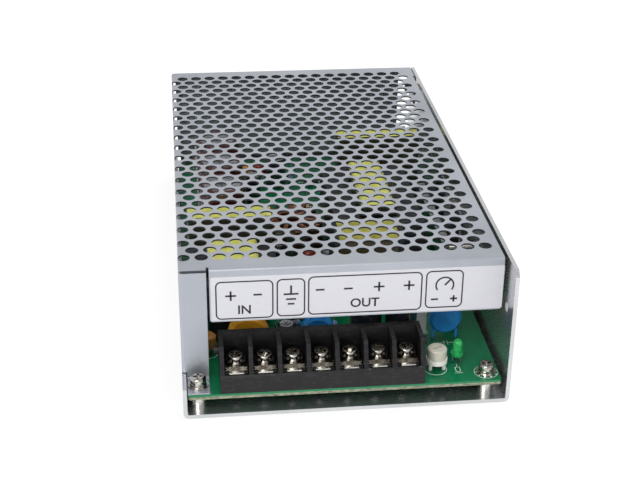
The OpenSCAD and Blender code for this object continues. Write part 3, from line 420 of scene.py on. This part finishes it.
def lettered(shape, words, size, place, offset, weight):
    """Plain letters, centred on place, added to a shape as raised ink"""
    writing = bpy.data.curves.new("letters", "FONT")
    writing.body = words
    writing.size = size
    writing.align_x = "CENTER"
    writing.align_y = "CENTER"
    writing.resolution_u = 4
    writing.offset = weight
    carrier = bpy.data.objects.new("letters", writing)
    bpy.context.scene.collection.objects.link(carrier)
    bpy.context.view_layer.update()
    letters = bpy.data.meshes.new_from_object(carrier.evaluated_get(bpy.context.evaluated_depsgraph_get()))
    letters.transform(place)
    old = set(shape.faces)
    shape.from_mesh(letters)
    faces = [f for f in shape.faces if f not in old]
    thicken(shape, faces, offset)
    bpy.data.objects.remove(carrier)
    bpy.data.curves.remove(writing)
    bpy.data.meshes.remove(letters)


# ---------------------------------------------------------------- label on the lip

FILM = 0.06 * MM
INK = 0.03 * MM
upright = Matrix.Rotation(math.radians(90), 4, "X")

# The film's gaps to the lip's edges, and its corners
FILM_EDGE_GAP = 0.4 * MM
FILM_RIGHT_GAP = 1.0 * MM
FILM_TOP_GAP = 2.5 * MM
FILM_CORNER = 0.5 * MM

# In millimetres across and up, in the shared frame: left, right, bottom and top of each frame, and both
# ends of each bar
FRAMES = ((-38.9, -21.8, 28.2, 41.0), (-20.9, -12.4, 28.4, 41.1), (-11.6, 22.6, 28.5, 41.5),
          (23.6, 35.0, 28.9, 41.6))
FRAME_LINE = 0.42
FRAME_CORNER = 1.7
SIGN_LINE = 0.58
SIGN_BARS = (
    # in: plus and minus
    (-36.0, 36.1, -32.8, 36.1), (-34.4, 34.5, -34.4, 37.7), (-27.7, 36.2, -25.2, 36.2),
    # out: two minus, two plus
    (-9.3, 36.9, -6.7, 36.9), (-0.9, 36.9, 1.7, 36.9),
    (8.0, 37.1, 11.2, 37.1), (9.6, 35.5, 9.6, 38.7), (17.0, 37.1, 20.2, 37.1), (18.6, 35.5, 18.6, 38.7),
    # earth
    (-16.6, 35.9, -16.6, 38.8), (-18.8, 35.9, -14.4, 35.9), (-18.1, 34.2, -15.1, 34.2),
    (-17.6, 32.6, -15.6, 32.6),
    # adjuster: its pointer, then minus and plus at the ends of its arc
    (29.4, 36.6, 31.2, 38.6), (25.4, 31.9, 27.6, 31.9), (31.2, 31.9, 33.4, 31.9), (32.3, 30.8, 32.3, 33.0))
DIAL = (29.4, 36.6)
DIAL_RADIUS = 2.9
DIAL_LINE = 0.5
DIAL_OPENING = 1.6
WORDS = (("IN", -30.4, 31.2), ("OUT", 5.4, 31.8))
LETTER = 4.1
LETTER_WEIGHT = 0.07


def lip_label():
    """A pale film on the lip, and on it the frames, signs and words of the terminals in raised ink"""
    low = Vector((lip_left + FILM_EDGE_GAP, 0, lip_bottom + FILM_EDGE_GAP))
    high = Vector((lip_right - FILM_RIGHT_GAP, 0, cover_high.z - FILM_TOP_GAP))
    centre = (low + high) / 2
    film = bmesh.new()
    rounded_sheet(film, (high.x - low.x, high.z - low.z), FILM_CORNER,
                  Matrix.Translation((centre.x, lip_plane, centre.z)) @ upright, 4)
    thicken(film, film.faces[:], (0, -FILM, 0))
    finished("lip_label", film, label_film)

    ink = bmesh.new()
    plane = lip_plane - FILM
    rise = (0, -INK, 0)

    def at(x, z):
        return Matrix.Translation((x * MM, plane, z * MM)) @ upright

    for left, right, bottom, top in FRAMES:
        rounded_outline(ink, ((right - left) * MM, (top - bottom) * MM), FRAME_CORNER * MM, FRAME_LINE * MM,
                        at((left + right) / 2, (top + bottom) / 2), rise)
    drawn_ring(ink, at(*DIAL), DIAL_RADIUS * MM, DIAL_LINE * MM, rise)
    # the dial is an arc, open below
    dial = Vector((DIAL[0] * MM, plane, DIAL[1] * MM))
    lower = [f for f in ink.faces if (f.calc_center_median() - dial).length < (DIAL_RADIUS + 0.2) * MM
             and f.calc_center_median().z < dial.z - DIAL_OPENING * MM]
    bmesh.ops.delete(ink, geom=lower, context="FACES")
    for words, x, z in WORDS:
        lettered(ink, words, LETTER * MM, at(x, z), rise, LETTER_WEIGHT * MM)
    for x0, z0, x1, z1 in SIGN_BARS:
        stroke(ink, (x0 * MM, plane - INK / 2, z0 * MM), (x1 * MM, plane - INK / 2, z1 * MM), SIGN_LINE * MM,
               INK, (0, -1, 0))
    finished("lip_printing", ink, label_ink)


lip_label()

# ---------------------------------------------------------------- printing and pads on the board

SILK = 0.02 * MM
SILK_LINE = 0.18
RINGED = ("bulk_sleeve_1", "bulk_sleeve_2", "bulk_sleeve_3", "output_capacitor_1", "output_capacitor_2",
          "toroid_core", "fuse")
# Each with the room that its frame leaves round it
FRAMED = {"left_disc_capacitor": 1.0, "surge_varistor": 1.0, "grey_film_capacitor": 0.8,
          "input_film_capacitor": 0.8, "output_film_capacitor": 0.8, "control_ic": 0.8}
BOARD_FIXINGS = ((43.0, -84.3), (-43.1, 80.0), (41.9, 80.0))
PAD_RAYS = 9


def board_printing():
    """Outlines of the parts, rings round the fixings, and the signs of a capacitor and a lamp"""
    silk = bmesh.new()
    plane = board_top + SILK / 2

    def bar(x0, y0, x1, y1):
        stroke(silk, (x0 * MM, y0 * MM, plane), (x1 * MM, y1 * MM, plane), SILK_LINE * MM, SILK)

    def at(x, y):
        return Matrix.Translation((x * MM, y * MM, board_top))

    def ring(x, y, radius, line=0.2):
        drawn_ring(silk, at(x, y), radius * MM, line * MM, (0, 0, SILK))

    def frame_round(x, y, width, depth, corner=0.3):
        rounded_outline(silk, (width * MM, depth * MM), corner * MM, 0.2 * MM, at(x, y), (0, 0, SILK), 2)

    trimmer = middle("trimmer_base") / MM
    ring(trimmer.x - 0.4, trimmer.y - 1.0, 3.5)
    for node, spare in FRAMED.items():
        low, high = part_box(node)
        frame_round((low.x + high.x) / 2 / MM, (low.y + high.y) / 2 / MM, (high.x - low.x) / MM + spare,
                    (high.y - low.y) / MM + spare)
    for node in RINGED:
        low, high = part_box(node)
        ring((low.x + high.x) / 2 / MM, (low.y + high.y) / 2 / MM, (high.x - low.x) / 2 / MM + 0.5)
    # a capacitor's sign in front of the right disc: two plates and their leads
    low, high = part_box("right_disc_capacitor")
    x = (low.x + high.x) / 2 / MM
    y = low.y / MM - 1.6
    for side in (-1, 1):
        bar(x + side * 0.5, y - 1.3, x + side * 0.5, y + 1.3)
        bar(x + side * 0.5, y, x + side * 4.0, y)
    # a lamp's sign in front of its lens
    lamp = middle("led_leads") / MM
    frame_round(lamp.x - 0.4, lamp.y - 4.2, 1.6, 2.6, 0.2)
    bar(lamp.x - 0.4, lamp.y - 2.9, lamp.x - 0.2, lamp.y - 1.2)
    bar(lamp.x - 1.6, lamp.y - 6.2, lamp.x + 0.8, lamp.y - 6.2)
    for x, y in BOARD_FIXINGS:
        ring(x, y, 3.7, 0.16)
    finished("board_printing", silk, silk_ink)


def fixing_pads():
    """Tinned rays of each earthed fixing, reaching out from under its washer"""
    pads = bmesh.new()
    for x, y in BOARD_FIXINGS:
        for step in range(PAD_RAYS):
            turn = Matrix.Rotation(math.radians(360 / PAD_RAYS * step + 12), 4, "Z")
            place = Matrix.Translation((x * MM, y * MM, board_top + 0.06 * MM)) @ turn
            out = Matrix.Translation((3.15 * MM, 0, 0)) @ Matrix.Diagonal((2.2, 1, 1, 1))
            bmesh.ops.create_cone(pads, cap_ends=True, segments=12, radius1=0.34 * MM, radius2=0.2 * MM,
                                  depth=0.12 * MM, matrix=place @ out)
    finished("fixing_pads", pads, finishes["tinned_lead"], slot="solder")


board_printing()
fixing_pads()

# ---------------------------------------------------------------- small parts on the board


def turned(shape, profile, place, skins=(), steps=16):
    """A turned body: its half outline, as radius and height in millimetres, spun round place's Z axis

    Each of skins is a lowest and a highest height, and the material between them.
    """
    old = set(shape.verts)
    corners = [shape.verts.new((radius * MM, 0, height * MM)) for radius, height in profile]
    lines = [shape.edges.new(pair) for pair in zip(corners, corners[1:])]
    bmesh.ops.spin(shape, geom=corners + lines, cent=(0, 0, 0), axis=(0, 0, 1), angle=2 * math.pi,
                   steps=steps, use_merge=True)
    made = [v for v in shape.verts if v not in old]
    for face in {f for v in made for f in v.link_faces}:
        height = face.calc_center_median().z / MM
        for low, high, skin in skins:
            if low < height < high:
                face.material_index = skin
        face.smooth = True
    bmesh.ops.transform(shape, matrix=place, verts=made)
    bmesh.ops.remove_doubles(shape, verts=made, dist=0.001 * MM)


def rod(shape, start, end, radius, skin):
    """A straight length of lead wire between two places in millimetres"""
    start = Vector(start) * MM
    end = Vector(end) * MM
    turn = (end - start).to_track_quat("Z", "Y").to_matrix().to_4x4()
    place = Matrix.Translation((start + end) / 2) @ turn
    made = bmesh.ops.create_cone(shape, cap_ends=True, segments=8, radius1=radius * MM, radius2=radius * MM,
                                 depth=(end - start).length, matrix=place)
    for face in {f for v in made["verts"] for f in v.link_faces}:
        face.material_index = skin
        face.smooth = True


deck = board_top / MM
WIRE = 0.28
LEAD_SINK = 0.4


def ahead_at(angle):
    """The flat direction at an angle from X, in degrees"""
    return Vector((math.cos(math.radians(angle)), math.sin(math.radians(angle)), 0))


def lying_place(x, y, height, angle):
    """A place whose Z axis lies flat, turned by angle from X"""
    return (Matrix.Translation((x * MM, y * MM, (deck + height) * MM))
            @ Matrix.Rotation(math.radians(angle), 4, "Z") @ Matrix.Rotation(math.radians(90), 4, "Y"))


def leads_of(shape, x, y, half, height, angle, skin):
    """The two leads of a lying part: out along its axis, then down into the board"""
    ahead = ahead_at(angle)
    for side in (-1, 1):
        foot = Vector((x, y, deck)) + ahead * side * half
        knee = foot + Vector((0, 0, height))
        rod(shape, Vector((x, y, deck + height)) + ahead * side * half * 0.5, knee, WIRE, skin)
        rod(shape, knee + Vector((0, 0, WIRE)), foot - Vector((0, 0, LEAD_SINK)), WIRE, skin)


def lying_resistors(name, body, stripes, places):
    """Resistors: a coated rod with swollen caps, two colour bands and a tolerance band"""
    shape = bmesh.new()
    outline = ((0, -3.1), (0.8, -3.1), (1.15, -2.8), (1.15, -2.0), (0.95, -1.7), (0.95, -1.2), (0.95, -0.8),
               (0.95, -0.1), (0.95, 0.4), (0.95, 1.1), (0.95, 1.5), (0.95, 1.7), (1.15, 2.0), (1.15, 2.8),
               (0.8, 3.1), (0, 3.1))
    for x, y, angle in places:
        turned(shape, outline, lying_place(x, y, 1.2, angle),
               ((-1.2, -0.8, 1), (-0.1, 0.4, 2), (1.1, 1.5, 1)))
        leads_of(shape, x, y, 5.0, 1.2, angle, 3)
    finished(name, shape, body, *stripes, finishes["tinned_lead"])


def lying_diodes(places):
    """Diodes: a black rod with a pale band at one end"""
    shape = bmesh.new()
    outline = ((0, -2.6), (1.3, -2.6), (1.35, -2.5), (1.35, -1.9), (1.35, -1.1), (1.35, 2.5), (1.3, 2.6),
               (0, 2.6))
    for x, y, angle in places:
        turned(shape, outline, lying_place(x, y, 1.4, angle), ((-1.9, -1.1, 1),))
        leads_of(shape, x, y, 4.6, 1.4, angle, 2)
    finished("board_diodes", shape, finishes["black_epoxy"], finishes["grey_moulding"],
             finishes["tinned_lead"])


def standing_cans(places):
    """Small electrolytic capacitors: a shrunk sleeve rolled over the can's shoulder, and a scored top"""
    shape = bmesh.new()
    for x, y, radius, height in places:
        outline = ((0, 0.3), (radius - 0.5, 0.3), (radius - 0.1, 0.6), (radius, 1.0), (radius, 1.4),
                   (radius - 0.25, 1.7), (radius, 2.0), (radius, height - 0.5), (radius - 0.35, height - 0.1),
                   (radius - 0.7, height), (radius - 0.8, height - 0.1), (0, height - 0.1))
        turned(shape, outline, Matrix.Translation((x * MM, y * MM, board_top)),
               ((height - 0.15, height + 1, 1),), 24)
        for side in (-1, 1):
            foot = x + side * radius * 0.45
            rod(shape, (foot, y, deck + LEAD_SINK), (foot, y, deck - LEAD_SINK), 0.25, 2)
        for angle in (0, 60, 120):
            ahead = ahead_at(angle) * radius * 0.55
            top = Vector((x, y, deck + height - 0.07))
            stroke(shape, (top - ahead) * MM, (top + ahead) * MM, 0.14 * MM, 0.06 * MM)
    finished("small_electrolytics", shape, finishes["black_sleeve"], finishes["can_aluminium"],
             finishes["tinned_lead"])


def dipped_discs(name, skin, places):
    """Small dipped capacitors: a lens-shaped body drawn out to its two leads"""
    shape = bmesh.new()
    outline = ((0, -1.3), (1.2, -1.25), (2.2, -1.0), (2.8, -0.5), (2.9, 0), (2.8, 0.5), (2.2, 1.0),
               (1.2, 1.25), (0, 1.3))
    for x, y, angle in places:
        turned(shape, outline, lying_place(x, y, 4.6, angle), (), 24)
        for side in (-1, 1):
            foot = Vector((x, y, deck)) + ahead_at(angle + 90) * side * 1.8
            rod(shape, foot - Vector((0, 0, LEAD_SINK)), foot + Vector((0, 0, 3.2)), 0.27, 1)
    finished(name, shape, skin, finishes["tinned_lead"])


band_red = moulding("band_red", tone(168, 40, 36), tone(140, 30, 30), 0.35)
band_gold = moulding("band_gold", tone(176, 140, 70), tone(150, 116, 54), 0.3)
coat_tan = lacquered("coat_tan", tone(198, 168, 122), tone(176, 144, 98))
coat_blue = lacquered("coat_blue", tone(92, 142, 178), tone(72, 120, 158))
coat_red = lacquered("coat_red", tone(150, 46, 34), tone(118, 32, 26))
# Places in millimetres across and back. A lying part's third number is its angle, a can's last two
# numbers are its radius and height
lying_resistors("tan_resistors", coat_tan, (band_red, band_gold),
                ((-8, -56, 90), (-4, -56, 90), (-12, -48, 0), (30, -44, 90), (34, -44, 90), (-2, 30, 0),
                 (-2, 34, 0), (-14, 24, 90), (-22, -27.5, 0), (16, 62, 0), (27.5, 62, 0)))
lying_resistors("blue_resistors", coat_blue, (band_red, finishes["black_epoxy"]),
                ((0, -56, 90), (-14, -52, 0), (38, -44, 90), (-2, 26, 0), (-10, 24, 90), (-4, 62, 90)))
lying_diodes(((-14, -62, 0), (36, -32, 90), (4, 56, 0), (-18, 34, 0), (-4, -30, 90)))
standing_cans(((-17, -68, 2.5, 11), (28, -36, 3.1, 11), (-15, -14, 2.5, 11), (-10, 58, 4.0, 12),
               (34, 56, 5.0, 20), (22, 54, 5.0, 20), (0, -22, 2.5, 11), (-20, 44, 3.1, 11)))
dipped_discs("amber_discs", finishes["amber_lacquer"],
             ((-19, -42, 0), (38, -56, 90), (8, 30, 0), (-22, 60, 90)))
dipped_discs("red_discs", coat_red, ((-4, -14, 90), (14, 30, 0), (32.5, -31, 0), (-16, 62, 90)))


def can_tops():
    """Scored vents on the large electrolytic capacitors' flat tops"""
    shape = bmesh.new()
    for node in ("bulk_capacitor_1", "bulk_capacitor_2", "bulk_capacitor_3", "output_capacitor_1",
                 "output_capacitor_2"):
        low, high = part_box(node)
        top = Vector(((low.x + high.x) / 2, (low.y + high.y) / 2, high.z - 0.01 * MM))
        for angle in (30, 90, 150):
            ahead = ahead_at(angle) * (high.x - low.x) * 0.36
            stroke(shape, top - ahead, top + ahead, 0.35 * MM, 0.05 * MM)
    finished("can_vents", shape, finishes["solder"], slot="can_aluminium")


can_tops()

# ---------------------------------------------------------------- studio

PAPER_GLOW = 0.72
DAYLIGHT = 0.75
REFLECTED_SIDES = 0.725
REFLECTED_TOP = 0.5
AIM = Vector((0, 0, 0.02))


def paper_floor():
    """White paper under the part, which glows a little so that it looks white to the camera and in mirrors"""
    floor = bmesh.new()
    bmesh.ops.create_grid(floor, x_segments=1, y_segments=1, size=1.5)
    mesh = bpy.data.meshes.new("studio_floor")
    floor.to_mesh(mesh)
    floor.free()
    ground = bpy.data.objects.new("studio_floor", mesh)
    bpy.context.scene.collection.objects.link(ground)
    ground.location.z = -0.2 * MM
    paper = Finish("studio_paper", (0.92, 0.92, 0.92, 1), 0.9)
    paper.shader.inputs["Specular IOR Level"].default_value = 0.0
    paper.colour(paper.blend(paper.clouds(9, 2), (0.91, 0.91, 0.91, 1), (0.93, 0.93, 0.93, 1)))
    ray = paper.add("ShaderNodeLightPath")
    glow = paper.add("ShaderNodeEmission")
    mix = paper.add("ShaderNodeMixShader")
    seen = paper.add("ShaderNodeMath", operation="MAXIMUM")
    share = paper.add("ShaderNodeMath", operation="MULTIPLY")
    share.inputs[1].default_value = PAPER_GLOW
    paper.join(ray.outputs["Is Camera Ray"], seen.inputs[0])
    paper.join(ray.outputs["Is Glossy Ray"], seen.inputs[1])
    paper.join(seen.outputs[0], share.inputs[0])
    paper.join(share.outputs[0], mix.inputs[0])
    paper.join(paper.shader.outputs[0], mix.inputs[1])
    paper.join(glow.outputs[0], mix.inputs[2])
    paper.join(mix.outputs[0], paper.tree.nodes["Material Output"].inputs["Surface"])
    mesh.materials.append(paper.material)


def daylight():
    """Even light from all round, which mirrors see darker overhead than at the sides"""
    world = bpy.data.worlds.new("studio_world")
    bpy.context.scene.world = world
    sky = Nodes(world)
    overhead = sky.height_of(sky.add("ShaderNodeTexCoord").outputs["Generated"])
    level = sky.add("ShaderNodeMix")
    sky.join(sky.add("ShaderNodeLightPath").outputs["Is Glossy Ray"], level.inputs["Factor"])
    level.inputs["A"].default_value = DAYLIGHT
    sky.join(sky.ramp(overhead, 0.55, 0.95, REFLECTED_SIDES, REFLECTED_TOP), level.inputs["B"])
    background = sky.tree.nodes["Background"]
    background.inputs["Color"].default_value = (1, 1, 1, 1)
    sky.join(level.outputs["Result"], background.inputs["Strength"])


def softbox(name, place, size, power, mirrored):
    light = bpy.data.lights.new(name, "AREA")
    light.shape = "SQUARE"
    light.size = size
    light.energy = power
    box = bpy.data.objects.new(name, light)
    box.location = place
    box.visible_glossy = mirrored
    box.rotation_euler = (AIM - Vector(place)).to_track_quat("-Z", "Y").to_euler()
    bpy.context.scene.collection.objects.link(box)


LENS = 73.36
CAMERA_PLACE = (-0.047778, -0.413673, 0.225067)
CAMERA_AHEAD = (0.10484, 0.88417, -0.45525)
CAMERA_SIDE = (0.99368, -0.11161, 0.01205)


def camera():
    lens = bpy.data.cameras.new("camera")
    lens.lens = LENS
    lens.sensor_width = 36
    lens.clip_start = 0.01
    lens.clip_end = 10
    view = bpy.data.objects.new("camera", lens)
    ahead = Vector(CAMERA_AHEAD).normalized()
    side = Vector(CAMERA_SIDE).normalized()
    up = side.cross(ahead)
    turn = Matrix((side, up, -ahead)).transposed().to_4x4()
    view.matrix_world = Matrix.Translation(CAMERA_PLACE) @ turn
    bpy.context.scene.collection.objects.link(view)
    bpy.context.scene.camera = view


paper_floor()
daylight()
softbox("softbox_front", (-0.35, -0.75, 0.75), 0.6, 5.2, True)
softbox("softbox_top", (0.25, 0.1, 0.9), 0.7, 6.0, False)
camera()
bpy.context.scene.view_settings.view_transform = "Standard"
